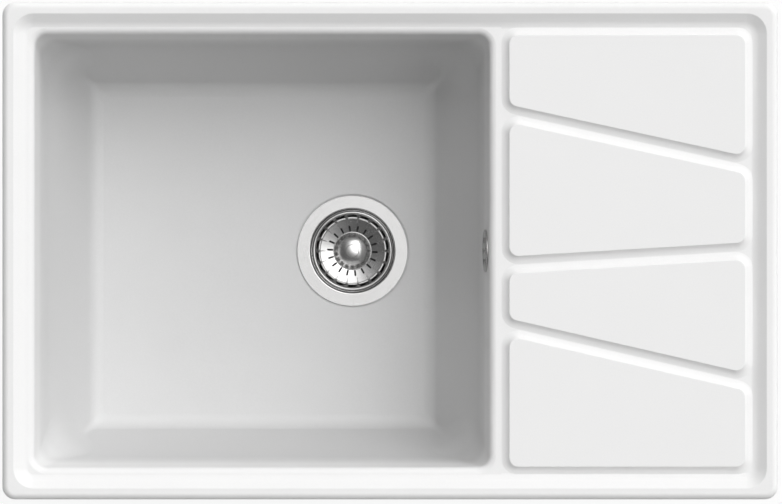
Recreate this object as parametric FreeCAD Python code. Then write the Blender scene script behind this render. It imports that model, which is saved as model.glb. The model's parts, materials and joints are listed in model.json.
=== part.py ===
import FreeCAD, Part
import math
import os

# Drop-in kitchen sink with one bowl and a drainboard.
# Millimetres. +X runs to the drainboard side, +Y to the back, +Z up. The origin is the middle of the
# rim's underside, the plane in which the sink sits on a worktop.

V = FreeCAD.Vector
UP = V(0, 0, 1)
OVER = 1.0                    # how far a cutting shape runs past the faces it cuts
MERGE = 0.5                   # how far two joined shapes run into each other
NEAR = 0.05                   # two places this close count as one

# ---------------------------------------------------------------- rim and deck
length = 780.0                # overall, left to right
depth = 500.0                 # overall, front to back
rim_height = 9.0              # rim top above the worktop
corner_r = 13.0               # outer corners in plan
rim_edge_r = 6.0              # rounding of the rim's outer top edge
rim_foot_chamfer = 0.8
rim_width = 11.2              # outer edge to the top of the inner slope
rim_inner_r = 1.2             # rounding at the top of the inner slope
rim_inner_corner_r = 20.0     # corners in plan at the top of the inner slope
deck_drop = 7.0               # rim top to deck
deck_slope_deg = 30.0         # slope from the rim down to the deck, above horizontal
deck_foot_r = 14.5            # hollow rounding where the slope meets the deck
deck_foot_deg = 3.0           # what is left of the slope at the deck
deck_thickness = 9.0
cutout_inset = 10.0           # outer edge to the worktop's cut-out
cutout_play = 3.0             # cut-out edge to the sink's underside, each side
underside_corner_r = 12.0

# ---------------------------------------------------------------- drainboard panels
panel_gap = 13.5              # bowl's mouth to the left edge of the panels' tops
panel_inset = 32.9            # outer edge to the edges of the panels' tops
panel_rise = 4.4
panel_side_deg = 50.0         # slope of the sides at the top edge
panel_side_r = 12.5           # hollow rounding of the sides, from the deck to the top edge
panel_top_r = 1.0
panel_corner_r = 9.0          # corners of the panels' tops in plan
groove_width = 17.2           # between two panels' tops, square to the groove
groove_left_y = (138.1, -14.25, -77.1)     # groove centres at the panels' left edge
groove_right_y = (86.5, -0.2, -131.4)      # and at their right edge
pocket_depth = 4.0            # hollows under the panels
pocket_inset = 5.0

# ---------------------------------------------------------------- bowl
bowl_inset = 25.5             # outer edge to the bowl's mouth
bowl_length = 471.0           # mouth, left to right
ledge_width = 0.4             # level ledge between the rim's slope and the mouth
ledge_reach = 5.5             # the ledge's level runs this far past the mouth towards the panels
bowl_depth = 195.0            # rim top to floor, at the drain
mouth_corner_r = 19.0
mouth_round_r = 7.0
upper_draft_deg = 5.5         # wall near the mouth, off vertical
upper_wall_end = 60.0         # depths below the worktop plane between which the wall leans further
lower_wall_start = 95.0
lower_draft_left_deg = 23.7
lower_draft_right_deg = 24.3
lower_draft_front_deg = 16.3
lower_draft_back_deg = 21.3
floor_round_r = 16.0
neck_corner_r = 18.0          # upright corners at the end of the upper wall
belly_corner_r = 37.0         # widest rounding of the upright corners
belly_depth = 100.0
floor_corner_r = 6.0          # upright corners at the floor
floor_fall_deg = 0.6          # the floor falls from the left towards the drain
bowl_wall = 8.5
upper_section_count = 3       # sections that each stretch of the bowl's surface runs through
lower_section_count = 9
rounding_section_count = 7

# ---------------------------------------------------------------- basket waste
drain_inset = 145.0           # bowl's right edge to the drain's axis
drain_y = 0.0
drain_hole_d = 90.0
drain_recess_d = 116.0
drain_recess_depth = 2.2
drain_pad_d = 124.0           # flat pad under the floor for the lower gasket
drain_pad_depth = 11.5        # floor to the pad's underside
flange_d = 112.0
cup_sheet = 1.2
flange_gasket_thickness = 0.8
flange_gasket_width = 9.0
cup_mouth_d = 86.0
cup_lip_r = 1.5
cup_seat_depth = 4.6          # flange top to the step that carries the basket
cup_seat_outer_d = 83.6
cup_seat_inner_d = 78.4
cup_seat_fall = 0.8
cup_depth = 27.0              # flange top to the cup's floor
cup_foot_d = 76.0
cup_foot_r = 4.0
well_d = 20.0                 # well in the cup's floor for the screw's head
well_depth = 8.0
cup_hole_count = 10
cup_hole_d = 7.0
cup_hole_pcd = 36.0

basket_rim_d = 81.0
basket_sheet = 0.8
basket_rim_drop = 2.2         # flange top to the basket's rim
basket_rim_curl = 2.0         # height of the rim's turned-down edge
basket_rim_width = 2.3
basket_rim_r = 1.1
basket_side_d = 75.0          # top of the slotted side
basket_side_top = 4.5         # flange top to the top of the slotted side
basket_floor_d = 67.0         # foot of the slotted side
basket_side_depth = 17.5      # flange top to the foot of the slotted side
basket_foot_r = 2.0
basket_dish_d = 38.0          # foot of the dished floor
basket_dish_depth = 21.5      # flange top to the foot of the dish
basket_slot_count = 18
crease_r = 0.75               # pressed creases down the dish, one from each bar of the side
crease_end_r = 0.1
crease_outer_d = 67.6
crease_inner_d = 53.0
side_slot_deg = 15.5
side_slot_head = 1.2          # top of the side to the slots
side_slot_foot = 0.4          # slots to the foot of the side
floor_slot_inner_d = 39.6
floor_slot_outer_d = 51.8
floor_slot_width = 1.9
floor_slot_end_r = 0.85
floor_slot_turn_deg = -3.0
knob_d = 37.5
knob_skirt = 1.6              # upright edge at the knob's foot
knob_height = 9.0
knob_button_d = 13.5
knob_button_step = 0.6
post_d = 8.0
post_head_d = 15.0
post_head_thickness = 1.2
post_entry = 4.5              # into the screw's head
basket_seal_d = 54.0
basket_seal_play = 0.4        # seal to the cup's floor, valve shut
basket_seal_lip = 1.2
clip_wire_d = 1.0
clip_rise = 2.2               # post's tip to the clip
post_tip_chamfer = 0.8

clamping_screw_d = 6.0
clamping_screw_length = 20.0
screw_clearance = 0.4         # all round, in the cup and the hub
screw_head_d = 13.0
screw_head_height = 7.0
screw_socket_d = 10.0
screw_socket_depth = 5.5
insert_d = 10.0
insert_length = 12.0
hub_d = 18.0
hub_length = 18.0
hub_rib_count = 4
hub_rib_thickness = 3.0
hub_rib_drop = 3.0            # hub top to the ribs
hub_rib_height = 8.0

lower_gasket_thickness = 2.5
lower_gasket_width = 8.0
lower_gasket_inset = 1.0      # flange's edge to the gasket
body_flange_d = 112.0
body_flange_thickness = 4.0
drum_d = 92.0                 # inside
drum_depth = 38.0             # flange top to the foot of the drum
body_wall = 2.6
cone_depth = 16.0
outlet_d = 47.8               # G 1 1/2 male thread, over its crests
outlet_bore_d = 41.0
outlet_length = 24.0
branch_drop = 20.0            # waste body's top to the branch's axis
branch_reach = 74.0           # drain axis to the branch's end
thread_d = 30.0               # threaded ends for the overflow pipe's nuts

# ---------------------------------------------------------------- overflow
overflow_drop = 33.0          # centre of the overflow below the worktop plane
overflow_hole_d = 34.0
rosette_d = 43.0
rosette_thickness = 1.5
rosette_edge_r = 0.6
rosette_hole_count = 6
rosette_hole_d = 6.5
rosette_hole_pcd = 25.0
rosette_play = 0.1
overflow_screw_d = 5.0
overflow_screw_head_d = 10.0
overflow_screw_head_height = 2.4
overflow_screw_length = 22.0
overflow_insert_d = 9.0
overflow_insert_length = 10.0
overflow_hub_d = 14.0
hood_gasket_thickness = 3.0
hood_gasket_width = 6.0
hood_gasket_inset = 0.5       # hood flange's edge to the gasket
hood_flange_d = 54.0
hood_d = 46.0
hood_depth = 30.0
hood_wall = 2.4
spigot_drop = 41.0            # overflow's centre to the end of the hood's spigot
pipe_d = 22.0
pipe_wall = 1.8
pipe_bend_r = 60.0
pipe_entry = 12.0             # length of pipe inside each threaded end
pipe_play = 0.15              # round the pipe in the threaded ends, the washers and the nuts
nut_d = 37.0
nut_grip = 12.0               # length of thread that a nut covers
nut_lip = 2.5
nut_rib_count = 12
nut_rib_width = 3.0
nut_rib_height = 1.2
washer_thickness = 3.0
washer_tip_d = 26.0

# ---------------------------------------------------------------- fixing clamps
worktop_thickness = 30.0
clamp_x = 200.0               # clamps on the front and back edges, either side of the middle
clamp_y = 120.0               # clamps on the left and right edges
clamp_inset = 9.0             # cut-out edge to the clamp's screw
boss_d = 16.0
boss_length = 17.0
plug_d = 8.0
plug_length = 12.0
clamp_screw_d = 4.8
clamp_screw_head_d = 9.0
clamp_screw_head_height = 3.0
clamp_screw_bite = 9.0        # thread inside the plug
driver_slot_width = 1.4
driver_slot_depth = 1.3
arm_width = 12.0
arm_sheet = 2.0
arm_hole_play = 0.3
arm_drop = 9.0                # boss to the arm's flat
arm_heel_inner = 3.2          # screw axis to the heel
arm_heel_width = 7.0
arm_flat = 7.5                # screw axis to the foot of the toe
arm_toe = 17.0                # screw axis to the tip of the toe
arm_toe_pad = 2.0             # level part of the toe's tip
arm_gap = 0.4                 # heel to boss, and screw head to arm

# ---------------------------------------------------------------- rim seal
seal_strip_width = 5.5
seal_strip_thickness = 1.6
seal_strip_inset = 3.0        # outer edge to the strip

# ---------------------------------------------------------------- levels and lines that follow
deck_z = rim_height - deck_drop
deck_under_z = deck_z - deck_thickness
panel_z = deck_z + panel_rise
floor_z = rim_height - bowl_depth

# The rim's inner slope: straight at its top, then hollow down to the deck.
slope_lean = math.radians(deck_slope_deg)
slope_foot_lean = math.radians(deck_foot_deg)
hollow_height = deck_foot_r * (math.cos(slope_foot_lean) - math.cos(slope_lean))
hollow_run = deck_foot_r * (math.sin(slope_lean) - math.sin(slope_foot_lean))
slope_foot = rim_width + (deck_drop - hollow_height) / math.tan(slope_lean) + hollow_run

# The level ledge round the bowl's mouth cuts the slope's hollow a little above the deck.
ledge_lean = math.asin(
    math.sin(slope_foot_lean) + (slope_foot - bowl_inset + ledge_width) / deck_foot_r
)
ledge_z = deck_z + deck_foot_r * (math.cos(slope_foot_lean) - math.cos(ledge_lean))

cutout_length = length - 2 * cutout_inset
cutout_depth = depth - 2 * cutout_inset

mouth_left = -length / 2 + bowl_inset
mouth_right = mouth_left + bowl_length
mouth_front = -depth / 2 + bowl_inset
mouth_back = depth / 2 - bowl_inset
panel_left = mouth_right + panel_gap
drain_x = mouth_right - drain_inset

seat_z = floor_z - drain_recess_depth
flange_top_z = seat_z + flange_gasket_thickness + cup_sheet
cup_floor_z = flange_top_z - cup_depth
well_floor_z = cup_floor_z - well_depth
basket_under_z = flange_top_z - basket_dish_depth - basket_sheet
screw_head_z = well_floor_z + screw_head_height
post_tip_z = screw_head_z - post_entry
hub_top_z = well_floor_z - cup_sheet
pad_z = floor_z - drain_pad_depth
body_top_z = pad_z - lower_gasket_thickness
drum_foot_z = body_top_z - drum_depth
outlet_top_z = drum_foot_z - cone_depth
outlet_z = outlet_top_z - outlet_length
branch_z = body_top_z - branch_drop
branch_end_x = drain_x + branch_reach

boss_z = deck_under_z - boss_length
arm_top_z = boss_z - arm_drop
clamp_head_z = arm_top_z - arm_sheet - arm_gap

DRAIN = (drain_x, drain_y)


# ================================================================ drawing helpers
def rounded_wire(corners, radii):
    """Closed flat wire through the corners, each rounded with its own radius, or sharp at 0."""
    count = len(corners)
    starts, middles, ends = [], [], []
    for i, here in enumerate(corners):
        back = (corners[i - 1] - here).normalize()
        ahead = (corners[(i + 1) % count] - here).normalize()
        half = back.getAngle(ahead) / 2
        inwards = V(back.x + ahead.x, back.y + ahead.y, back.z + ahead.z).normalize()
        reach = radii[i] / math.tan(half)
        starts.append(here + back * reach)
        ends.append(here + ahead * reach)
        middles.append(here + inwards * (radii[i] / math.sin(half) - radii[i]))
    edges = []
    for i in range(count):
        if radii[i] > 0:
            edges.append(Part.Arc(starts[i], middles[i], ends[i]).toShape())
        edges.append(Part.LineSegment(ends[i], starts[(i + 1) % count]).toShape())
    return Part.Wire(edges)


def outline(points, z, radius):
    return rounded_wire([V(x, y, z) for x, y in points], [radius] * len(points))


def rectangle(left, right, front, back, z, radius):
    return outline([(left, front), (right, front), (right, back), (left, back)], z, radius)


def centred_rectangle(size_x, size_y, z, radius):
    return rectangle(-size_x / 2, size_x / 2, -size_y / 2, size_y / 2, z, radius)


def prism(wire, height):
    return Part.Face(wire).extrude(V(0, 0, height))


def grown(points, distance):
    """Corners of an anticlockwise convex polygon after each side moves outwards by the distance."""
    moved = []
    count = len(points)
    for i in range(count):
        here = V(points[i][0], points[i][1], 0)
        before = (here - V(points[i - 1][0], points[i - 1][1], 0)).normalize()
        after = (V(points[(i + 1) % count][0], points[(i + 1) % count][1], 0) - here).normalize()
        out_before = V(before.y, -before.x, 0)
        out_after = V(after.y, -after.x, 0)
        shift = (out_before + out_after) * (distance / (1 + out_before.dot(out_after)))
        moved.append((here.x + shift.x, here.y + shift.y))
    return moved


def turned(points, radii=None, centre=(0, 0)):
    """Solid of revolution about the upright line through centre, from (radius, height) points."""
    radii = radii or [0] * len(points)
    face = Part.Face(rounded_wire([V(r, 0, z) for r, z in points], radii))
    solid = face.revolve(V(0, 0, 0), UP, 360)
    solid.translate(V(centre[0], centre[1], 0))
    return solid


def sheet_turned(line, radii, thickness, centre):
    """Pressed sheet of even thickness, turned about the upright line through centre.

    line runs from the rim to the middle along the upper face; the sheet lies on its left."""
    count = len(line)
    lower, lower_radii = [], []
    for i, (r, z) in enumerate(line):
        before = line[i - 1] if i > 0 else None
        after = line[i + 1] if i < count - 1 else None
        ways = []
        if before:
            ways.append(V(r - before[0], z - before[1], 0).normalize())
        if after:
            ways.append(V(after[0] - r, after[1] - z, 0).normalize())
        first, last = ways[0], ways[-1]
        left_first, left_last = V(-first.y, first.x, 0), V(-last.y, last.x, 0)
        shift = (left_first + left_last) * (thickness / (1 + left_first.dot(left_last)))
        bend = first.cross(last).z
        lower.append((r + shift.x, z + shift.y))
        lower_radii.append(max(radii[i] - math.copysign(thickness, bend), 0) if radii[i] else 0)
    return turned(line + lower[::-1], list(radii) + lower_radii[::-1], centre)


def disc(diameter, bottom, top, centre=(0, 0)):
    return Part.makeCylinder(diameter / 2, top - bottom, V(centre[0], centre[1], bottom))


def ring(outer, inner, bottom, top, centre=(0, 0)):
    return disc(outer, bottom, top, centre).cut(disc(inner, bottom - OVER, top + OVER, centre))


def spun(solid, count, centre=(0, 0)):
    """Copies of a solid, evenly spaced about the upright line through centre."""
    copies = []
    for i in range(count):
        copy = solid.copy()
        copy.rotate(V(centre[0], centre[1], 0), UP, 360.0 * i / count)
        copies.append(copy)
    return copies


def level_edges(shape, z, wanted=None):
    """Edges that lie wholly at one height, and that wanted accepts."""
    found = []
    for edge in shape.Edges:
        box = edge.BoundBox
        if abs(box.ZMin - z) < NEAR and abs(box.ZMax - z) < NEAR:
            if wanted is None or wanted(box):
                found.append(edge)
    return found


# ================================================================ bowl shape
def wall_inwards(z, draft_deg):
    """Move inwards of a wall at height z, from the mouth's edge, with no roundings."""
    upper = math.tan(math.radians(upper_draft_deg))
    lower = math.tan(math.radians(draft_deg))
    blend = lower_wall_start - upper_wall_end
    start = mouth_round_r * math.tan(math.radians((90 - upper_draft_deg) / 2))
    in_blend = min(max(-z - upper_wall_end, 0), blend)
    below_blend = max(-z - lower_wall_start, 0)
    return (
        start
        + upper * (min(-z, upper_wall_end) + ledge_z + in_blend)
        + (lower - upper) * in_blend ** 2 / (2 * blend)
        + lower * below_blend
    )


def wall_lean(z, draft_deg):
    """Angle of a wall off vertical at height z, in radians."""
    share = min(max((-z - upper_wall_end) / (lower_wall_start - upper_wall_end), 0), 1)
    upper = math.tan(math.radians(upper_draft_deg))
    lower = math.tan(math.radians(draft_deg))
    return math.atan(upper + (lower - upper) * share)


def side_inwards(z, draft_deg, skin):
    """Move inwards of one side at height z, for the surface that lies skin outside the bowl's inside."""
    draft = math.radians(draft_deg)
    radius = floor_round_r + skin
    centre_z = floor_z + floor_round_r
    wall_foot = centre_z - floor_round_r * math.sin(draft)
    if z < centre_z - radius * math.sin(draft):
        centre = wall_inwards(wall_foot, draft_deg) + floor_round_r * math.cos(draft)
        return centre - math.sqrt(max(radius ** 2 - (centre_z - z) ** 2, 0))
    return wall_inwards(z, draft_deg) - skin / math.cos(wall_lean(z, draft_deg))


def upright_corner_r(z):
    """Radius of the bowl's upright corners at height z."""
    knots = (
        (-mouth_round_end(), mouth_corner_r - mouth_round_r * math.cos(math.radians(upper_draft_deg))),
        (upper_wall_end, neck_corner_r),
        (belly_depth, belly_corner_r),
        (-floor_z - floor_round_r, floor_corner_r),
    )
    for (high, high_r), (low, low_r) in zip(knots, knots[1:]):
        if -z <= low:
            share = max(-z - high, 0) / (low - high)
            return high_r + (low_r - high_r) * share * share * (3 - 2 * share)
    return floor_corner_r


def mouth_round_end():
    """Height at which the mouth's rounding meets the upper wall."""
    return ledge_z - mouth_round_r * (1 - math.sin(math.radians(upper_draft_deg)))


def bowl_section(z, skin=0.0):
    """The bowl's outline at height z, or that of the surface skin outside it, on the floor's fall."""
    drafts = (lower_draft_left_deg, lower_draft_right_deg, lower_draft_front_deg, lower_draft_back_deg)
    left, right, front, back = [side_inwards(z, draft, skin) for draft in drafts]
    wire = rectangle(
        mouth_left + left,
        mouth_right - right,
        mouth_front + front,
        mouth_back - back,
        z,
        upright_corner_r(z) + skin,
    )
    fall_share = min(max(-z - upper_wall_end, 0) / (-floor_z - floor_round_r - upper_wall_end), 1)
    wire.rotate(V(drain_x, drain_y, z), V(0, 1, 0), floor_fall_deg * fall_share)
    return wire


def mouth_section(z_turn):
    """Outline on the mouth's rounding, z_turn radians round from the ledge."""
    inwards = mouth_round_r * math.sin(z_turn)
    z = ledge_z - mouth_round_r * (1 - math.cos(z_turn))
    return rectangle(
        mouth_left + inwards,
        mouth_right - inwards,
        mouth_front + inwards,
        mouth_back - inwards,
        z,
        mouth_corner_r - inwards,
    )


def spread(first, last, count):
    return [first + (last - first) * i / (count - 1) for i in range(count)]


def rounding_heights(skin, count):
    """Heights down the floor's rounding, evenly spaced round its arc."""
    radius = floor_round_r + skin
    shallowest = math.radians(min(lower_draft_front_deg, lower_draft_back_deg))
    turns = spread(shallowest, math.pi / 2, count)
    return [floor_z + floor_round_r - radius * math.sin(turn) for turn in turns]


def stacked(groups):
    """One solid from lofts that share their end sections."""
    lofts = [Part.makeLoft(group, True, False) for group in groups]
    return lofts[0].fuse(lofts[1:])


def bowl_hollow():
    """The bowl's inside, from the ledge to the floor."""
    turns = spread(0, math.radians(90 - upper_draft_deg), rounding_section_count)
    mouth = [mouth_section(turn) for turn in turns]
    upper = [bowl_section(z) for z in spread(mouth_round_end(), -upper_wall_end, upper_section_count)]
    foot = rounding_heights(0.0, rounding_section_count)
    lower = [bowl_section(z) for z in spread(-upper_wall_end, foot[0], lower_section_count)]
    floor = [bowl_section(z) for z in foot]
    return stacked([mouth, upper, lower, floor])


def bowl_outside():
    """The bowl as a full block, from inside the deck plate to its underside."""
    top = deck_under_z + deck_thickness / 3
    foot = rounding_heights(bowl_wall, rounding_section_count)
    upper = [bowl_section(z, bowl_wall) for z in spread(top, -upper_wall_end, upper_section_count)]
    lower = [bowl_section(z, bowl_wall) for z in spread(-upper_wall_end, foot[0], lower_section_count)]
    floor = [bowl_section(z, bowl_wall) for z in foot]
    return stacked([upper, lower, floor])


# ================================================================ sink body
def rim_block():
    block = prism(centred_rectangle(length, depth, 0, corner_r), rim_height)
    block = block.makeFillet(rim_edge_r, level_edges(block, rim_height))
    block = block.makeChamfer(rim_foot_chamfer, level_edges(block, 0))
    under = prism(
        centred_rectangle(
            cutout_length - 2 * cutout_play,
            cutout_depth - 2 * cutout_play,
            deck_under_z,
            underside_corner_r,
        ),
        rim_height / 2 - deck_under_z,
    )
    return block.fuse(under)


def panel_outlines():
    """Top outlines of the four drainboard panels, from the back to the front."""
    right = length / 2 - panel_inset
    back = depth / 2 - panel_inset
    edges = [(back, back, 0)]
    for left_y, right_y in zip(groove_left_y, groove_right_y):
        slant = math.atan2(right_y - left_y, right - panel_left)
        edges.append((left_y, right_y, groove_width / 2 / math.cos(slant)))
    edges.append((-back, -back, 0))
    outlines = []
    for (high_left, high_right, high_half), (low_left, low_right, low_half) in zip(edges, edges[1:]):
        outlines.append(
            [
                (panel_left, low_left + low_half),
                (right, low_right + low_half),
                (right, high_right - high_half),
                (panel_left, high_left - high_half),
            ]
        )
    return outlines


def panel_block(points):
    """A panel as a block set a little into the deck, its sides hollowed from foot to top edge."""
    lean = math.radians(panel_side_deg)
    sections = []
    for turn in spread(0, lean, rounding_section_count):
        out = panel_side_r * (math.sin(lean) - math.sin(turn))
        z = panel_z - panel_side_r * (math.cos(turn) - math.cos(lean))
        sections.append(outline(grown(points, out), z, panel_corner_r + out))
    return Part.makeLoft(sections, True, False)


def slope_outline(inset, z):
    """Line round the rim's inner slope, inset from the outer edge."""
    return centred_rectangle(
        length - 2 * inset, depth - 2 * inset, z, rim_inner_corner_r + rim_width - inset
    )


def deck_hollow():
    """The space above the deck and the panels, up to just over the rim's top."""
    flare = OVER / math.tan(slope_lean)
    hollow = []
    for lean in spread(slope_foot_lean, slope_lean, rounding_section_count):
        inset = slope_foot - deck_foot_r * (math.sin(lean) - math.sin(slope_foot_lean))
        z = deck_z + deck_foot_r * (math.cos(slope_foot_lean) - math.cos(lean))
        hollow.append(slope_outline(inset, z))
    straight = [hollow[-1], slope_outline(rim_width - flare, rim_height + OVER)]
    space = stacked([hollow, straight])
    ledge = prism(
        rectangle(
            -length / 2, mouth_right + ledge_reach, -depth / 2, depth / 2, deck_z - OVER, corner_r
        ),
        ledge_z - deck_z + OVER,
    )
    space = space.cut([ledge] + [panel_block(points) for points in panel_outlines()])
    return space.makeFillet(panel_top_r, level_edges(space, panel_z))


def clamp_places():
    """Name, screw axis and outward direction of each fixing clamp."""
    side_x = cutout_length / 2 - clamp_inset
    side_y = cutout_depth / 2 - clamp_inset
    return (
        ("left_front", -side_x, -clamp_y, 180.0),
        ("left_back", -side_x, clamp_y, 180.0),
        ("right_front", side_x, -clamp_y, 0.0),
        ("right_back", side_x, clamp_y, 0.0),
        ("front_left", -clamp_x, -side_y, 270.0),
        ("front_right", clamp_x, -side_y, 270.0),
        ("back_left", -clamp_x, side_y, 90.0),
        ("back_right", clamp_x, side_y, 90.0),
    )


def seal_strip():
    """The ring under the rim that the sealing strip fills."""
    inset = 2 * seal_strip_inset
    inner = inset + 2 * seal_strip_width
    outer_r = corner_r - seal_strip_inset
    ring_outer = prism(centred_rectangle(length - inset, depth - inset, 0, outer_r), seal_strip_thickness)
    ring_inner = prism(
        centred_rectangle(length - inner, depth - inner, -OVER, outer_r - seal_strip_width),
        seal_strip_thickness + 2 * OVER,
    )
    return ring_outer.cut(ring_inner)


def sink_body():
    body = rim_block().fuse(bowl_outside())
    bosses = [disc(boss_d, boss_z, 0, (x, y)) for name, x, y, way in clamp_places()]
    body = body.fuse(bosses + [disc(drain_pad_d, pad_z, floor_z - MERGE, DRAIN)])
    body = body.cut(deck_hollow())
    body = body.cut(bowl_hollow())

    def inner_edge(box):
        return max(-box.XMin, box.XMax) < length / 2 - rim_width + NEAR

    body = body.makeFillet(rim_inner_r, level_edges(body, rim_height, inner_edge))

    pocket_r = panel_corner_r - pocket_inset
    cuts = []
    for points in panel_outlines():
        cuts.append(prism(outline(grown(points, -pocket_inset), deck_under_z, pocket_r), pocket_depth))
    for name, x, y, way in clamp_places():
        cuts.append(disc(plug_d, boss_z, boss_z + plug_length, (x, y)))
    cuts.append(disc(drain_hole_d, pad_z - OVER, floor_z + OVER, DRAIN))
    cuts.append(disc(drain_recess_d, seat_z, floor_z + floor_round_r, DRAIN))
    cuts.append(seal_strip())
    cuts.append(at_overflow(disc(overflow_hole_d, -2 * bowl_wall, bowl_wall)))
    return body.cut(cuts)


# ================================================================ basket waste
def strainer_cup():
    top = flange_top_z
    line = [
        (flange_d / 2, top),
        (cup_mouth_d / 2, top),
        (cup_seat_outer_d / 2, top - cup_seat_depth),
        (cup_seat_inner_d / 2, top - cup_seat_depth - cup_seat_fall),
        (cup_foot_d / 2, cup_floor_z),
        (well_d / 2, cup_floor_z),
        (well_d / 2, well_floor_z),
        (clamping_screw_d / 2 + screw_clearance, well_floor_z),
    ]
    cup = sheet_turned(line, [0, cup_lip_r, 0, 0, cup_foot_r, 0, 0, 0], cup_sheet, DRAIN)
    hole_place = (drain_x + cup_hole_pcd / 2, drain_y)
    hole = disc(cup_hole_d, cup_floor_z - cup_sheet - OVER, cup_floor_z + OVER, hole_place)
    return cup.cut(spun(hole, cup_hole_count, DRAIN))


def flange_gasket():
    inner_d = flange_d - 2 * flange_gasket_width
    return ring(flange_d, inner_d, seat_z, seat_z + flange_gasket_thickness, DRAIN)


def lower_gasket():
    outer = body_flange_d - 2 * lower_gasket_inset
    return ring(outer, outer - 2 * lower_gasket_width, body_top_z, pad_z, DRAIN)


def basket_wedge():
    """One slot of the basket's side: a sector between two heights."""
    top = flange_top_z - basket_side_top - side_slot_head
    bottom = flange_top_z - basket_side_depth + side_slot_foot
    wedge = Part.makeCylinder(basket_rim_d / 2, top - bottom, V(0, 0, bottom), UP, side_slot_deg)
    core = disc(floor_slot_outer_d, bottom - OVER, top + OVER)
    wedge = wedge.cut(core)
    wedge.rotate(V(0, 0, 0), UP, (360.0 / basket_slot_count - side_slot_deg) / 2)
    wedge.translate(V(drain_x, drain_y, 0))
    return wedge


def floor_slot():
    """One radial slot of the basket's floor, with round ends."""
    inner, outer, half = floor_slot_inner_d / 2, floor_slot_outer_d / 2, floor_slot_width / 2
    points = [(inner, -half), (outer, -half), (outer, half), (inner, half)]
    bottom = basket_under_z - OVER
    slot = prism(outline(points, bottom, floor_slot_end_r), flange_top_z - basket_side_depth - bottom)
    slot.rotate(V(0, 0, 0), UP, floor_slot_turn_deg)
    slot.translate(V(drain_x, drain_y, 0))
    return slot


def dish_crease():
    """A pressed crease in the dish, widest at the foot of the side."""
    fall = basket_dish_depth - basket_side_depth
    run = (basket_floor_d - basket_dish_d) / 2
    start = V(drain_x + crease_outer_d / 2, drain_y, flange_top_z - basket_side_depth)
    inwards = V(-run, 0, -fall).normalize()
    crease_length = (crease_outer_d - crease_inner_d) / 2 * math.hypot(run, fall) / run
    return Part.makeCone(crease_r, crease_end_r, crease_length, start, inwards)


def basket_shell():
    rim_top = flange_top_z - basket_rim_drop
    line = [
        (basket_rim_d / 2, rim_top - basket_rim_curl),
        (basket_rim_d / 2, rim_top),
        (basket_rim_d / 2 - basket_rim_width, rim_top),
        (basket_side_d / 2, flange_top_z - basket_side_top),
        (basket_floor_d / 2, flange_top_z - basket_side_depth),
        (basket_dish_d / 2, flange_top_z - basket_dish_depth),
        (0, flange_top_z - basket_dish_depth),
    ]
    shell = sheet_turned(line, [0, basket_rim_r, basket_rim_r, 0, basket_foot_r, 0, 0], basket_sheet, DRAIN)
    shell = shell.fuse(spun(dish_crease(), basket_slot_count, DRAIN))
    slots = spun(basket_wedge(), basket_slot_count, DRAIN) + spun(floor_slot(), basket_slot_count, DRAIN)
    return shell.cut(slots)


def basket_knob():
    """Domed lifting knob with a small stepped button on top."""
    foot_z = flange_top_z - basket_dish_depth
    dome_r = knob_d / 2
    shoulder_z = foot_z + knob_skirt
    top_z = foot_z + knob_height
    button_r = knob_button_d / 2
    rise = top_z - shoulder_z
    sphere_r = (dome_r ** 2 + rise ** 2) / (2 * rise)
    centre_z = top_z - sphere_r

    def on_dome(radius):
        return V(radius, 0, centre_z + math.sqrt(sphere_r ** 2 - radius ** 2))

    step = V(0, 0, knob_button_step)
    dome_edge = on_dome(dome_r)
    button_edge = on_dome(button_r)
    button_rim = on_dome(button_r - knob_button_step) + step
    button_middle = on_dome(button_rim.x / 2) + step
    button_top = on_dome(0) + step
    edges = [
        Part.LineSegment(V(0, 0, foot_z), V(dome_r, 0, foot_z)).toShape(),
        Part.LineSegment(V(dome_r, 0, foot_z), dome_edge).toShape(),
        Part.Arc(dome_edge, on_dome((dome_r + button_r) / 2), button_edge).toShape(),
        Part.LineSegment(button_edge, button_rim).toShape(),
        Part.Arc(button_rim, button_middle, button_top).toShape(),
        Part.LineSegment(button_top, V(0, 0, foot_z)).toShape(),
    ]
    knob = Part.Face(Part.Wire(edges)).revolve(V(0, 0, 0), UP, 360)
    knob.translate(V(drain_x, drain_y, 0))
    return knob


def post_clip():
    """Spring wire in a groove round the post, inside the screw's head."""
    return Part.makeTorus(post_d / 2, clip_wire_d / 2, V(drain_x, drain_y, post_tip_z + clip_rise))


def basket_post():
    head_z = basket_under_z - post_head_thickness
    post = disc(post_d, post_tip_z, basket_under_z, DRAIN)
    post = post.makeChamfer(post_tip_chamfer, level_edges(post, post_tip_z))
    post = post.fuse(disc(post_head_d, head_z, basket_under_z, DRAIN))
    return post.cut(post_clip())


def basket_seal():
    """Rubber disc on the post that shuts the cup's holes."""
    bottom = cup_floor_z + basket_seal_play
    top = basket_under_z - post_head_thickness
    outer_r = basket_seal_d / 2
    points = [
        (post_d / 2, top),
        (post_d / 2, bottom + basket_seal_lip),
        (cup_hole_pcd / 2 + cup_hole_d / 2, bottom + basket_seal_lip),
        (cup_hole_pcd / 2 + cup_hole_d / 2 + basket_seal_lip, bottom),
        (outer_r, bottom),
        (outer_r, bottom + basket_seal_lip),
        (outer_r - basket_seal_lip, top),
    ]
    return turned(points, None, DRAIN)


def clamping_screw():
    head = disc(screw_head_d, well_floor_z, screw_head_z, DRAIN)
    head = head.cut(disc(screw_socket_d, screw_head_z - screw_socket_depth, screw_head_z + OVER, DRAIN))
    shank = disc(clamping_screw_d, well_floor_z - clamping_screw_length, well_floor_z + MERGE, DRAIN)
    return head.fuse(shank)


def insert_top_z():
    return well_floor_z - clamping_screw_length + insert_length


def clamping_insert():
    top = insert_top_z()
    return ring(insert_d, clamping_screw_d, top - insert_length, top, DRAIN)


def facing_right(solid, x, z):
    """Turns a solid drawn along +Z to lie along +X with its origin at x on the drain's line."""
    solid.rotate(V(0, 0, 0), V(0, 1, 0), 90)
    solid.translate(V(x, drain_y, z))
    return solid


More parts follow.
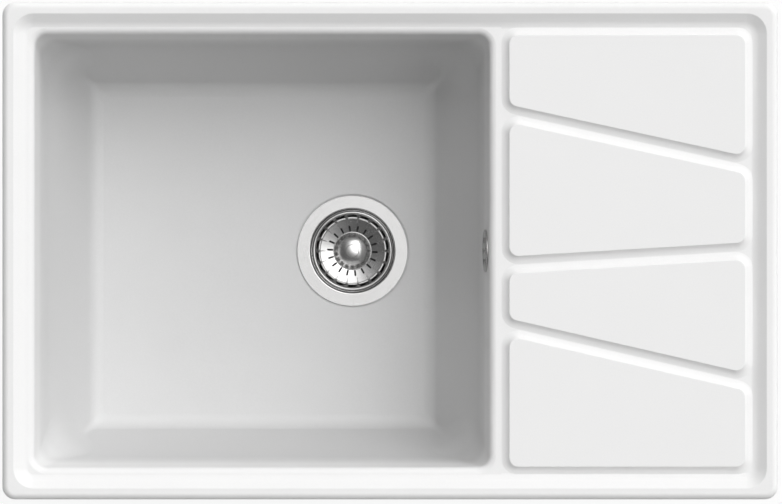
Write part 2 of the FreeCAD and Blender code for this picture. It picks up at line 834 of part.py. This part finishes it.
def waste_body():
    drum_r = drum_d / 2
    bore_r = outlet_bore_d / 2
    outlet_r = outlet_d / 2
    points = [
        (body_flange_d / 2, body_top_z),
        (drum_r, body_top_z),
        (drum_r, drum_foot_z),
        (bore_r, outlet_top_z),
        (bore_r, outlet_z),
        (outlet_r, outlet_z),
        (outlet_r, outlet_top_z - body_wall),
        (drum_r + body_wall, drum_foot_z - body_wall),
        (drum_r + body_wall, body_top_z - body_flange_thickness),
        (body_flange_d / 2, body_top_z - body_flange_thickness),
    ]
    body = turned(points, None, DRAIN)
    hub = disc(hub_d, hub_top_z - hub_length, hub_top_z, DRAIN)
    rib = Part.makeBox(
        drum_r + body_wall / 2,
        hub_rib_thickness,
        hub_rib_height,
        V(drain_x, drain_y - hub_rib_thickness / 2, hub_top_z - hub_rib_drop - hub_rib_height),
    )
    ribs = spun(rib, hub_rib_count, DRAIN)
    for solid in ribs:
        solid.rotate(V(drain_x, drain_y, 0), UP, 180.0 / hub_rib_count)
    branch = facing_right(disc(thread_d, 0, branch_reach), drain_x, branch_z)
    inside = disc(2 * drum_r - body_wall, branch_z - thread_d, branch_z + thread_d, DRAIN)
    body = body.fuse(branch.cut(inside))
    body = body.fuse([hub] + ribs)
    entry = disc(pipe_d + 2 * pipe_play, 0, pipe_entry + OVER)
    entry = facing_right(entry, branch_end_x - pipe_entry, branch_z)
    bore = facing_right(disc(pipe_d - 2 * pipe_wall, drum_r - body_wall, branch_reach), drain_x, branch_z)
    body = body.cut([entry, bore])
    hole_d = clamping_screw_d + 2 * screw_clearance
    hole = disc(hole_d, hub_top_z - hub_length - OVER, hub_top_z + OVER, DRAIN)
    seat = disc(insert_d, insert_top_z() - insert_length, insert_top_z(), DRAIN)
    return body.cut([hole, seat])


# ================================================================ overflow
def overflow_centre():
    """Point on the bowl's right wall at the middle of the overflow."""
    return V(mouth_right - wall_inwards(-overflow_drop, lower_draft_right_deg), drain_y, -overflow_drop)


def at_overflow(solid):
    """Moves a solid drawn about +Z, with the wall's inside at 0, to the overflow, +Z into the bowl."""
    solid.rotate(V(0, 0, 0), V(0, 1, 0), -(90 - upper_draft_deg))
    solid.translate(overflow_centre())
    return solid


def pipe_x():
    """The pipe's upright line: the hood's spigot stands just clear of the hood's gasket."""
    outwards = bowl_wall + hood_gasket_thickness + hood_wall + thread_d / 2
    return overflow_centre().x + outwards * math.cos(math.radians(upper_draft_deg))


def hood_end_z():
    return -overflow_drop - spigot_drop


def overflow_rosette():
    disc_top = rosette_thickness + rosette_play
    plate = disc(rosette_d, rosette_play, disc_top)
    plate = plate.makeFillet(rosette_edge_r, level_edges(plate, disc_top))
    hole = disc(rosette_hole_d, -OVER, disc_top + OVER, (rosette_hole_pcd / 2, 0))
    plate = plate.cut(spun(hole, rosette_hole_count))
    return at_overflow(plate.cut(overflow_screw_shape()))


def overflow_screw_shape():
    top = rosette_thickness + rosette_play
    head_foot = top - overflow_screw_head_height
    cone = Part.makeCone(
        overflow_screw_d / 2, overflow_screw_head_d / 2, overflow_screw_head_height, V(0, 0, head_foot)
    )
    return cone.fuse(disc(overflow_screw_d, top - overflow_screw_length, head_foot))


def overflow_screw():
    top = rosette_thickness + rosette_play
    slot = Part.makeBox(
        overflow_screw_head_d, driver_slot_width, driver_slot_depth,
        V(-overflow_screw_head_d / 2, -driver_slot_width / 2, top - driver_slot_depth),
    )
    return at_overflow(overflow_screw_shape().cut(slot))


def overflow_gasket():
    foot = -bowl_wall - hood_gasket_thickness
    outer = hood_flange_d - 2 * hood_gasket_inset
    return at_overflow(ring(outer, outer - 2 * hood_gasket_width, foot, -bowl_wall))


def overflow_hood():
    face = -bowl_wall - hood_gasket_thickness
    end = face - hood_depth
    shell = disc(hood_flange_d, face - hood_wall, face).fuse(disc(hood_d, end, face))
    shell = at_overflow(shell)
    spigot = disc(thread_d, hood_end_z(), -overflow_drop, (pipe_x(), drain_y))
    shell = shell.fuse(spigot)
    room = at_overflow(disc(hood_d - 2 * hood_wall, end + hood_wall, face + OVER))
    bottom = hood_end_z()
    bore = disc(pipe_d - 2 * pipe_wall, bottom - OVER, -overflow_drop, (pipe_x(), drain_y))
    entry = disc(pipe_d + 2 * pipe_play, bottom - OVER, bottom + pipe_entry, (pipe_x(), drain_y))
    shell = shell.cut([room, bore, entry])
    hub = at_overflow(disc(overflow_hub_d, end + hood_wall / 2, overflow_insert_top()))
    shell = shell.fuse(hub)
    seat = at_overflow(disc(overflow_insert_d, overflow_insert_top() - overflow_insert_length, 0))
    return shell.cut(seat)


def overflow_insert_top():
    return rosette_thickness + rosette_play - overflow_screw_length + overflow_insert_length


def overflow_insert():
    top = overflow_insert_top()
    return at_overflow(ring(overflow_insert_d, overflow_screw_d, top - overflow_insert_length, top))


def overflow_pipe():
    """Pipe from the hood straight down, round one bend and into the waste body's branch."""
    top = V(pipe_x(), drain_y, hood_end_z() + pipe_entry)
    bend_top = V(pipe_x(), drain_y, branch_z + pipe_bend_r)
    bend_end = V(pipe_x() - pipe_bend_r, drain_y, branch_z)
    end = V(branch_end_x - pipe_entry, drain_y, branch_z)
    middle_reach = pipe_bend_r * (1 - math.sqrt(0.5))
    middle = V(pipe_x() - middle_reach, drain_y, branch_z + middle_reach)
    path = Part.Wire(
        [
            Part.LineSegment(top, bend_top).toShape(),
            Part.Arc(bend_top, middle, bend_end).toShape(),
            Part.LineSegment(bend_end, end).toShape(),
        ]
    )
    outer = Part.Wire(Part.makeCircle(pipe_d / 2, top, UP))
    inner = Part.Wire(Part.makeCircle(pipe_d / 2 - pipe_wall, top, UP))
    pipe = path.makePipeShell([outer], True, True).cut(path.makePipeShell([inner], True, True))
    section = math.pi * ((pipe_d / 2) ** 2 - (pipe_d / 2 - pipe_wall) ** 2)
    print("overflow pipe: length %.1f, bend radius %.1f" % (path.Length, pipe_bend_r))
    print("volume %.1f, section times length %.1f" % (pipe.Volume, section * path.Length))
    return pipe


def union_nut():
    """Ribbed nut drawn along +Z, with the threaded end's face at 0 and the lip above it."""
    top = washer_thickness + nut_lip
    nut = disc(nut_d, -nut_grip, top)
    rib = Part.makeBox(
        nut_rib_height + MERGE, nut_rib_width, nut_grip + top,
        V(nut_d / 2 - MERGE, -nut_rib_width / 2, -nut_grip),
    )
    nut = nut.fuse(spun(rib, nut_rib_count))
    thread_room = disc(thread_d + 2 * pipe_play, -nut_grip - OVER, washer_thickness)
    pipe_hole = disc(pipe_d + 2 * pipe_play, 0, top + OVER)
    return nut.cut([thread_room, pipe_hole])


def cone_washer():
    """Tapered sealing ring on the threaded end's face, drawn along +Z."""
    bore = pipe_d / 2 + pipe_play
    points = [(bore, 0), (thread_d / 2, 0), (washer_tip_d / 2, washer_thickness), (bore, washer_thickness)]
    return turned(points)


def at_branch(solid):
    return facing_right(solid, branch_end_x, branch_z)


def at_hood(solid):
    solid.rotate(V(0, 0, 0), V(1, 0, 0), 180)
    solid.translate(V(pipe_x(), drain_y, hood_end_z()))
    return solid


# ================================================================ fixing clamps
def clamp_arm(x, y, way):
    """Bent steel arm. Drawn pointing along +X from its screw, then turned outwards."""
    low = arm_top_z - arm_sheet
    toe_z = -worktop_thickness
    pad_start = arm_toe - arm_toe_pad
    profile = [
        V(0, 0, low),
        V(arm_flat, 0, low),
        V(pad_start, 0, toe_z - arm_sheet),
        V(arm_toe, 0, toe_z - arm_sheet),
        V(arm_toe, 0, toe_z),
        V(pad_start - arm_sheet / 2, 0, toe_z),
        V(arm_flat - arm_sheet / 4, 0, arm_top_z),
        V(0, 0, arm_top_z),
    ]
    strip = Part.Face(Part.makePolygon(profile + [profile[0]])).extrude(V(0, arm_width, 0))
    strip.translate(V(0, -arm_width / 2, 0))
    round_end = disc(arm_width, low, arm_top_z)
    heel = Part.makeBox(
        arm_sheet, arm_heel_width, arm_drop - arm_gap + arm_sheet,
        V(-arm_heel_inner - arm_sheet, -arm_heel_width / 2, low),
    )
    arm = strip.fuse([round_end, heel])
    arm = arm.cut(disc(clamp_screw_d + 2 * arm_hole_play, low - OVER, arm_top_z + OVER))
    arm = arm.removeSplitter()
    arm.rotate(V(0, 0, 0), UP, way)
    arm.translate(V(x, y, 0))
    return arm


def clamp_screw(x, y):
    bottom = clamp_head_z - clamp_screw_head_height
    head = disc(clamp_screw_head_d, bottom, clamp_head_z)
    head = head.makeFillet(clamp_screw_head_height / 3, level_edges(head, bottom))
    slot = Part.makeBox(
        clamp_screw_head_d, driver_slot_width, driver_slot_depth,
        V(-clamp_screw_head_d / 2, -driver_slot_width / 2, bottom),
    )
    screw = head.cut(slot).fuse(disc(clamp_screw_d, clamp_head_z - MERGE, boss_z + clamp_screw_bite))
    screw.translate(V(x, y, 0))
    return screw


def clamp_plug(x, y):
    top = boss_z + plug_length
    plug = disc(plug_d, boss_z, top, (x, y))
    return plug.cut(disc(clamp_screw_d, boss_z - OVER, boss_z + clamp_screw_bite, (x, y)))


# ================================================================ all nodes
def main():
    os.makedirs("parts", exist_ok=True)
    places = clamp_places()
    nodes = {
        "sink_body": sink_body(),
        "rim_seal": seal_strip(),
        "strainer_cup": strainer_cup(),
        "flange_gasket": flange_gasket(),
        "lower_gasket": lower_gasket(),
        "waste_body": waste_body(),
        "clamping_insert": clamping_insert(),
        "clamping_screw": clamping_screw(),
        "basket_shell": basket_shell(),
        "basket_knob": basket_knob(),
        "basket_post": basket_post(),
        "basket_seal": basket_seal(),
        "post_clip": post_clip(),
        "overflow_rosette": overflow_rosette(),
        "overflow_screw": overflow_screw(),
        "overflow_gasket": overflow_gasket(),
        "overflow_hood": overflow_hood(),
        "overflow_insert": overflow_insert(),
        "overflow_pipe": overflow_pipe(),
        "overflow_top_nut": at_hood(union_nut()),
        "overflow_branch_nut": at_branch(union_nut()),
        "overflow_top_washer": at_hood(cone_washer()),
        "overflow_branch_washer": at_branch(cone_washer()),
        "clamp_plugs": Part.makeCompound([clamp_plug(x, y) for name, x, y, way in places]),
        "clamp_screws": Part.makeCompound([clamp_screw(x, y) for name, x, y, way in places]),
    }
    for name, x, y, way in places:
        nodes["clamp_arm_" + name] = clamp_arm(x, y, way)
    for name, shape in nodes.items():
        if not shape.isValid():
            print("not valid:", name)
        solids = shape.Solids
        print("%-24s %d solids %10.0f mm3" % (name, len(solids), shape.Volume))
        out = solids[0] if len(solids) == 1 else Part.makeCompound(solids)
        out.exportStep("parts/%s.step" % name)


main()
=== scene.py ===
import json
import math

import bpy
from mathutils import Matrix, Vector


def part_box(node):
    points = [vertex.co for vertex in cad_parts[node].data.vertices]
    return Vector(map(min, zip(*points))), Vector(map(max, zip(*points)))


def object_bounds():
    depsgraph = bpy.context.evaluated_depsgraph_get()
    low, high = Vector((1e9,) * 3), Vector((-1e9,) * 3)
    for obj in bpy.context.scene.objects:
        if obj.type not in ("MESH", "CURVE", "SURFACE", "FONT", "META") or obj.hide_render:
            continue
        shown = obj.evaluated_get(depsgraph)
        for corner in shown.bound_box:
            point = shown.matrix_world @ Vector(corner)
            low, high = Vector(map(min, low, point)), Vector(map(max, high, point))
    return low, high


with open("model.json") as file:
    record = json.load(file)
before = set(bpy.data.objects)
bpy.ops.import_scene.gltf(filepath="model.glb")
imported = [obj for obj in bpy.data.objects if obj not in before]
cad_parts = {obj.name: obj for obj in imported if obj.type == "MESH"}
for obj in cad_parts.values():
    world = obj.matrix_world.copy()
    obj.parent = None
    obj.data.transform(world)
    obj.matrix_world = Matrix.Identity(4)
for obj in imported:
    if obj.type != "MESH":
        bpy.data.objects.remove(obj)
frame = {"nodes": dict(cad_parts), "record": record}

cad_low, cad_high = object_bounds()
nodes = frame["nodes"]

# Where things are, read from the frame, in metres.
cup_low, cup_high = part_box("strainer_cup")
DRAIN = Vector(((cup_low.x + cup_high.x) / 2, (cup_low.y + cup_high.y) / 2, cup_high.z))
RIM_TOP = cad_high.z

# The photograph's framing: its size in pixels, its scale, and where the rim's centre is in it.
IMAGE_WIDTH = 782
IMAGE_HEIGHT = 504
PIXELS_PER_METRE = 994.5
CENTRE_PIXEL = (389.6, 250.4)
LENS = 600.0                  # millimetres, as is the sensor: a long lens, nearly without perspective
SENSOR = 36.0
CLIP_END = 100.0

FLOOR_HALF = 12.0             # half the side of the studio's floor
FLOOR_GAP = 0.0005            # from the floor up to the object's lowest point
PHOTO_WHITE = 1.0
WHITE_SHARE = 0.9             # of the floor as the camera sees it; the rest is its lit surface


# ---------------------------------------------------------------- node helpers
class Material:
    """A node material with one Principled shader, built from top to bottom."""

    def __init__(self, name):
        self.data = bpy.data.materials.new(name)
        self.data.use_nodes = True
        self.tree = self.data.node_tree
        self.shader = self.tree.nodes["Principled BSDF"]
        self.place = self.add("ShaderNodeTexCoord").outputs["Object"]

    def add(self, kind, **settings):
        node = self.tree.nodes.new(kind)
        for name, value in settings.items():
            setattr(node, name, value)
        return node

    def link(self, source, target):
        self.tree.links.new(source, target)

    def set(self, **values):
        """Sets sockets of the shader: underscores stand for spaces."""
        for name, value in values.items():
            self.shader.inputs[name.replace("_", " ")].default_value = value

    def noise(self, scale, detail=3.0, rough=0.55, place=None):
        node = self.add("ShaderNodeTexNoise")
        node.inputs["Scale"].default_value = scale
        node.inputs["Detail"].default_value = detail
        node.inputs["Roughness"].default_value = rough
        self.link(place or self.place, node.inputs["Vector"])
        return node.outputs["Fac"]

    def math(self, operation, *values):
        node = self.add("ShaderNodeMath", operation=operation)
        for socket, value in zip(node.inputs, values):
            if isinstance(value, (int, float)):
                socket.default_value = value
            else:
                self.link(value, socket)
        return node.outputs[0]

    def ranged(self, value, low, high, start=0.0, end=1.0):
        """Maps start..end to low..high."""
        node = self.add("ShaderNodeMapRange")
        node.inputs["From Min"].default_value = start
        node.inputs["From Max"].default_value = end
        node.inputs["To Min"].default_value = low
        node.inputs["To Max"].default_value = high
        self.link(value, node.inputs["Value"])
        return node.outputs["Result"]

    def mixed(self, factor, first, second):
        """Colour between first and second."""
        node = self.add("ShaderNodeMix", data_type="RGBA")
        self.link(factor, node.inputs[0])
        for socket, value in ((node.inputs[6], first), (node.inputs[7], second)):
            if isinstance(value, tuple):
                socket.default_value = (*value, 1.0)
            else:
                self.link(value, socket)
        return node.outputs[2]

    def bump(self, height, distance, strength=1.0, normal=None):
        node = self.add("ShaderNodeBump")
        node.inputs["Distance"].default_value = distance
        node.inputs["Strength"].default_value = strength
        self.link(height, node.inputs["Height"])
        if normal:
            self.link(normal, node.inputs["Normal"])
        return node.outputs["Normal"]

    def colour(self, value):
        self.link(value, self.shader.inputs["Base Color"])

    def roughness(self, value):
        self.link(value, self.shader.inputs["Roughness"])

    def normal(self, value):
        self.link(value, self.shader.inputs["Normal"])


def grey(level, warmth=0.0):
    return (level * (1 + warmth), level, level * (1 - warmth))


# ---------------------------------------------------------------- materials
DECK_TONE = 0.85              # the composite's tone on the rim, deck and panels
BOWL_PAINTED_SHADE_TONE = 0.62              # and, as painted shade, a darker tone deep in the bowl and on the cast underside
PAINTED_SHADE_START = -0.034            # heights between which the deck tone passes into the painted shade
PAINTED_SHADE_END = -0.082


def composite():
    """Cast quartz composite: satin, with a very fine grain, and painted shade that darkens it in the
    bowl and below the deck.
    """
    m = Material("composite_white")
    place = m.add("ShaderNodeSeparateXYZ")
    m.link(m.place, place.inputs[0])
    cloud = m.noise(14.0, 4.0)
    grain = m.noise(1500.0, 2.0)
    speck = m.noise(620.0, 1.0)
    tone = m.math("ADD", m.ranged(cloud, -0.5, 0.5, 0.3, 0.7), m.ranged(speck, -0.5, 0.5, 0.3, 0.7))
    tone = m.math("ADD", m.math("MULTIPLY", tone, 0.5), 0.5)
    deck = m.mixed(tone, grey(DECK_TONE - 0.012, 0.002), grey(DECK_TONE + 0.012, 0.002))
    # painted shade: a darker copy of the composite's tone for the deep bowl and the underside
    painted_shade = m.mixed(tone, grey(BOWL_PAINTED_SHADE_TONE - 0.015), grey(BOWL_PAINTED_SHADE_TONE + 0.015))
    # the painted shade sets in with depth below the deck, its edge wavering with the cloud
    shade_height = m.math("ADD", place.outputs["Z"], m.math("MULTIPLY", cloud, 0.004))
    m.colour(m.mixed(m.ranged(shade_height, 0.0, 1.0, PAINTED_SHADE_START, PAINTED_SHADE_END), deck, painted_shade))
    m.roughness(m.ranged(m.math("ADD", cloud, grain), 0.40, 0.54, 0.7, 1.3))
    fine = m.bump(grain, 0.00005, 0.35)
    m.normal(m.bump(m.noise(240.0, 2.0), 0.00004, 0.3, fine))
    m.set(Specular_IOR_Level=0.4)
    return m.data


def steel(name, tone, rough, ring_depth):
    """Turned stainless steel: fine rings round the drain's axis, with faint smears."""
    m = Material(name)
    shift = m.add("ShaderNodeVectorMath", operation="SUBTRACT")
    m.link(m.place, shift.inputs[0])
    shift.inputs[1].default_value = (DRAIN.x, DRAIN.y, 0.0)
    flat = m.add("ShaderNodeVectorMath", operation="MULTIPLY")
    m.link(shift.outputs[0], flat.inputs[0])
    flat.inputs[1].default_value = (1.0, 1.0, 0.0)
    radius = m.add("ShaderNodeVectorMath", operation="LENGTH")
    m.link(flat.outputs[0], radius.inputs[0])
    line = m.add("ShaderNodeCombineXYZ")
    m.link(radius.outputs["Value"], line.inputs[0])
    height = m.add("ShaderNodeSeparateXYZ")
    m.link(m.place, height.inputs[0])
    m.link(height.outputs["Z"], line.inputs[1])
    rings = m.noise(2600.0, 4.0, 0.7, line.outputs[0])
    smear = m.noise(90.0, 3.0)
    m.colour(m.mixed(rings, grey(tone - 0.03, 0.006), grey(tone + 0.03, 0.006)))
    m.roughness(m.ranged(m.math("ADD", rings, smear), rough * 0.8, rough * 1.25, 0.6, 1.4))
    m.normal(m.bump(rings, ring_depth, 0.4))
    m.set(Metallic=1.0)
    return m.data


def sheet_steel(name, tone, rough):
    """Zinc-plated or rolled steel: mottled, with small scratches."""
    m = Material(name)
    mottle = m.noise(260.0, 4.0)
    scratch = m.noise(900.0, 2.0)
    m.colour(m.mixed(mottle, grey(tone * 0.88, -0.01), grey(tone * 1.08, 0.01)))
    m.roughness(m.ranged(m.math("ADD", mottle, scratch), rough * 0.8, rough * 1.3, 0.7, 1.3))
    m.normal(m.bump(scratch, 0.00003, 0.4))
    m.set(Metallic=1.0)
    return m.data


def plastic(name, tone, warmth, rough, depth=0.00004):
    """Moulded plastic: fine spark texture and a little unevenness of tone."""
    m = Material(name)
    cloud = m.noise(40.0, 3.0)
    spark = m.noise(1400.0, 2.0)
    m.colour(m.mixed(cloud, grey(tone * 0.93, warmth), grey(tone * 1.05, warmth)))
    m.roughness(m.ranged(m.math("ADD", cloud, spark), rough * 0.85, rough * 1.15, 0.7, 1.3))
    m.normal(m.bump(spark, depth, 0.4))
    return m.data


def brass():
    m = Material("brass")
    mottle = m.noise(400.0, 3.0)
    m.colour(m.mixed(mottle, (0.62, 0.43, 0.17), (0.78, 0.58, 0.27)))
    m.roughness(m.ranged(mottle, 0.24, 0.4, 0.3, 0.7))
    m.normal(m.bump(m.noise(1800.0), 0.00002, 0.4))
    m.set(Metallic=1.0)
    return m.data


MATERIALS = {
    "composite_white": composite(),
    "stainless_steel": steel("stainless_steel", 0.46, 0.24, 0.00001),
    "polished_steel": steel("polished_steel", 0.6, 0.22, 0.000003),
    "white_plastic": plastic("white_plastic", 0.78, 0.01, 0.42),
    "grey_plastic": plastic("grey_plastic", 0.11, 0.0, 0.5),
    "black_rubber": plastic("black_rubber", 0.022, 0.0, 0.62, 0.00008),
    "grey_foam": plastic("grey_foam", 0.16, 0.0, 0.8, 0.00015),
    "brass": brass(),
    "zinc_steel": sheet_steel("zinc_steel", 0.58, 0.34),
}

for part in frame["record"]["subparts"]:
    node = nodes[part["node"]]
    node.data.materials.clear()
    node.data.materials.append(MATERIALS[part["material_slot"]])


# ---------------------------------------------------------------- floor, light, camera
def studio_floor():
    """Pale floor under the lowest point. It shows nearly white, with a faint shadow of the object."""
    half = FLOOR_HALF
    mesh = bpy.data.meshes.new("studio_floor")
    level = cad_low.z - FLOOR_GAP
    corners = [(-half, -half, level), (half, -half, level), (half, half, level), (-half, half, level)]
    mesh.from_pydata(corners, [], [(0, 1, 2, 3)])
    floor = bpy.data.objects.new("studio_floor", mesh)
    bpy.context.collection.objects.link(floor)

    m = Material("studio_floor")
    m.colour(m.mixed(m.noise(3.0), grey(0.80), grey(0.84)))
    m.roughness(m.ranged(m.noise(9.0), 0.85, 0.95))
    m.normal(m.bump(m.noise(300.0), 0.0002, 0.2))
    white = m.add("ShaderNodeEmission")
    white.inputs["Color"].default_value = (1.0, 1.0, 1.0, 1.0)
    white.inputs["Strength"].default_value = PHOTO_WHITE
    path = m.add("ShaderNodeLightPath")
    seen = m.math("MAXIMUM", path.outputs["Is Camera Ray"], path.outputs["Is Glossy Ray"])
    seen = m.math("MAXIMUM", seen, path.outputs["Is Transmission Ray"])
    share = m.math("MULTIPLY", seen, WHITE_SHARE)
    blend = m.add("ShaderNodeMixShader")
    m.link(share, blend.inputs[0])
    m.link(m.shader.outputs[0], blend.inputs[1])
    m.link(white.outputs[0], blend.inputs[2])
    m.link(blend.outputs[0], m.tree.nodes["Material Output"].inputs["Surface"])
    mesh.materials.append(m.data)


# Soft lights of the world: azimuth from +X towards +Y, elevation, the angles from a light's middle
# within which it is full and beyond which it is nothing, and its strength. Angles are in degrees.
SKY_LIGHTS = (
    ("key", 45.0, 62.0, 5.0, 36.0, 2.25),
    ("wide", 45.0, 62.0, 5.0, 55.0, 0.9),
    ("low", 50.0, 10.0, 5.0, 75.0, 0.82),
)
FILL_STRENGTH = 0.15


def studio_light():
    """Soft lights in the world over a weak even fill."""
    world = bpy.data.worlds.new("studio")
    world.use_nodes = True
    bpy.context.scene.world = world
    tree = world.node_tree
    way = tree.nodes.new("ShaderNodeTexCoord").outputs["Generated"]
    total = None
    for name, azimuth_deg, elevation_deg, inner_deg, outer_deg, strength in SKY_LIGHTS:
        azimuth, elevation = math.radians(azimuth_deg), math.radians(elevation_deg)
        middle = (
            math.cos(elevation) * math.cos(azimuth),
            math.cos(elevation) * math.sin(azimuth),
            math.sin(elevation),
        )
        facing = tree.nodes.new("ShaderNodeVectorMath")
        facing.operation = "DOT_PRODUCT"
        facing.label = name
        tree.links.new(way, facing.inputs[0])
        facing.inputs[1].default_value = middle
        soft = tree.nodes.new("ShaderNodeMapRange")
        soft.interpolation_type = "SMOOTHSTEP"
        soft.inputs["From Min"].default_value = math.cos(math.radians(outer_deg))
        soft.inputs["From Max"].default_value = math.cos(math.radians(inner_deg))
        soft.inputs["To Min"].default_value = 0.0
        soft.inputs["To Max"].default_value = strength
        tree.links.new(facing.outputs["Value"], soft.inputs["Value"])
        adding = tree.nodes.new("ShaderNodeMath")
        adding.inputs[1].default_value = FILL_STRENGTH
        tree.links.new(soft.outputs["Result"], adding.inputs[0])
        if total:
            tree.links.new(total, adding.inputs[1])
        total = adding.outputs[0]
    background = tree.nodes["Background"]
    background.inputs["Color"].default_value = (1.0, 1.0, 1.0, 1.0)
    tree.links.new(total, background.inputs["Strength"])


def photo_camera():
    """Straight above the sink, with the image's top to the back."""
    data = bpy.data.cameras.new("photo_camera")
    data.lens = LENS
    data.sensor_width = SENSOR
    data.clip_end = CLIP_END
    camera = bpy.data.objects.new("photo_camera", data)
    bpy.context.collection.objects.link(camera)
    distance = IMAGE_WIDTH / PIXELS_PER_METRE * LENS / SENSOR
    right = (IMAGE_WIDTH - 1) / 2 - CENTRE_PIXEL[0]
    down = (IMAGE_HEIGHT - 1) / 2 - CENTRE_PIXEL[1]
    camera.location = (right / PIXELS_PER_METRE, -down / PIXELS_PER_METRE, RIM_TOP + distance)
    bpy.context.scene.camera = camera


studio_floor()
studio_light()
photo_camera()
bpy.context.scene.view_settings.view_transform = "Standard"
